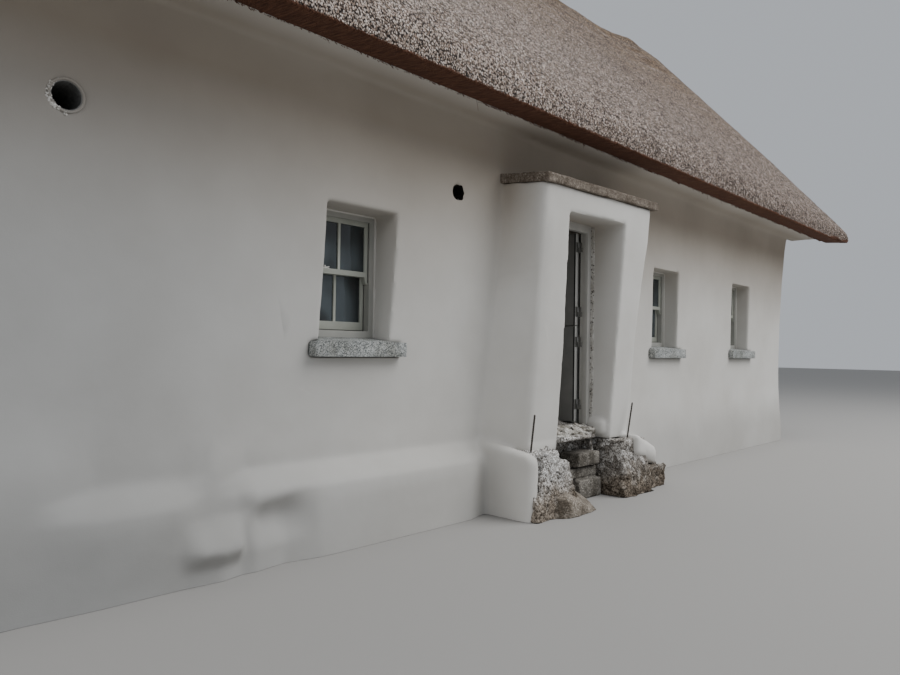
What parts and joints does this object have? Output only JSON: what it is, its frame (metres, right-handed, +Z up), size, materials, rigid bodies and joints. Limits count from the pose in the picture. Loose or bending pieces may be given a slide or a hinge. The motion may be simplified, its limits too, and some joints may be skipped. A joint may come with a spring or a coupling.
{
  "type": "thatched cottage",
  "caption": "Long rendered cottage under a gabled reed thatch roof, with sash windows on granite sills and a half-door behind a small stone-capped porch.",
  "frame": {"origin": "middle of the house in plan, at the lowest ground the walls reach", "axes": "+X along the house to the right seen from the front, +Y from the front wall towards the rear wall, +Z up"},
  "size_m": [15.992, 7.274, 7.6919],
  "materials": {
    "lime_render": "matte lime render, off-white",
    "lime_soffit": "matte lime render, off-white",
    "reed_thatch": "coarse cut reed ends",
    "granite": "speckled dressed granite",
    "cap_stone": "rough flagstone",
    "rubble": "broken rubble and mortar",
    "concrete": "floated concrete",
    "sash_paint": "grey-green satin paint",
    "frame_paint": "light grey satin paint",
    "door_paint": "dark grey satin paint",
    "window_glass": "clear",
    "hinge_steel": "dull steel",
    "rusty_steel": "rusted",
    "vent_plastic": "grey"
  },
  "bodies": {
    "house": {"front_wall_left": "lime_render", "front_wall_right": "lime_render", "front_wall_over_door": "lime_render", "front_wall_below_door": "rubble", "rear_wall": "lime_render", "left_gable_wall": "lime_render", "right_gable_wall": "lime_render", "floor_slab": "concrete", "front_soffit": "lime_soffit", "rear_soffit": "lime_soffit", "thatch_front": "reed_thatch", "thatch_rear": "reed_thatch", "thatch_ridge": "reed_thatch", "porch_pier_left": "lime_render", "porch_pier_right": "lime_render", "porch_head": "lime_render", "porch_cap": "cap_stone", "porch_footing_left": "rubble", "porch_footing_middle": "rubble", "porch_footing_right": "rubble", "threshold": "rubble", "starter_bar_left": "rusty_steel", "starter_bar_right": "rusty_steel", "vent_pipe": "vent_plastic", "door_frame": "frame_paint", "lower_hinge_1": "hinge_steel", "lower_hinge_2": "hinge_steel", "upper_hinge_1": "hinge_steel", "upper_hinge_2": "hinge_steel", "front_window_1_frame": "sash_paint", "front_window_1_upper_sash": "sash_paint", "front_window_1_lower_sash": "sash_paint", "front_window_1_glass": "window_glass", "front_window_1_sill": "granite", "front_window_2_frame": "sash_paint", "front_window_2_upper_sash": "sash_paint", "front_window_2_lower_sash": "sash_paint", "front_window_2_glass": "window_glass", "front_window_2_sill": "granite", "front_window_3_frame": "sash_paint", "front_window_3_upper_sash": "sash_paint", "front_window_3_lower_sash": "sash_paint", "front_window_3_glass": "window_glass", "front_window_3_sill": "granite", "rear_window_1_frame": "sash_paint", "rear_window_1_upper_sash": "sash_paint", "rear_window_1_lower_sash": "sash_paint", "rear_window_1_glass": "window_glass", "rear_window_1_sill": "granite", "rear_window_2_frame": "sash_paint", "rear_window_2_upper_sash": "sash_paint", "rear_window_2_lower_sash": "sash_paint", "rear_window_2_glass": "window_glass", "rear_window_2_sill": "granite"},
    "lower_leaf": {"door_leaf_lower": "door_paint"},
    "upper_leaf": {"door_leaf_upper": "door_paint"}
  },
  "joints": [
    {"name": "lower_leaf_swing", "type": "hinge", "parent": "house", "child": "lower_leaf", "pos_m": [0.42, -2.907, 0.903], "axis": [0, 0, 1], "range_deg": [0, 90]},
    {"name": "upper_leaf_swing", "type": "hinge", "parent": "house", "child": "upper_leaf", "pos_m": [0.42, -2.907, 1.876], "axis": [0, 0, 1], "range_deg": [0, 90]}
  ]
}
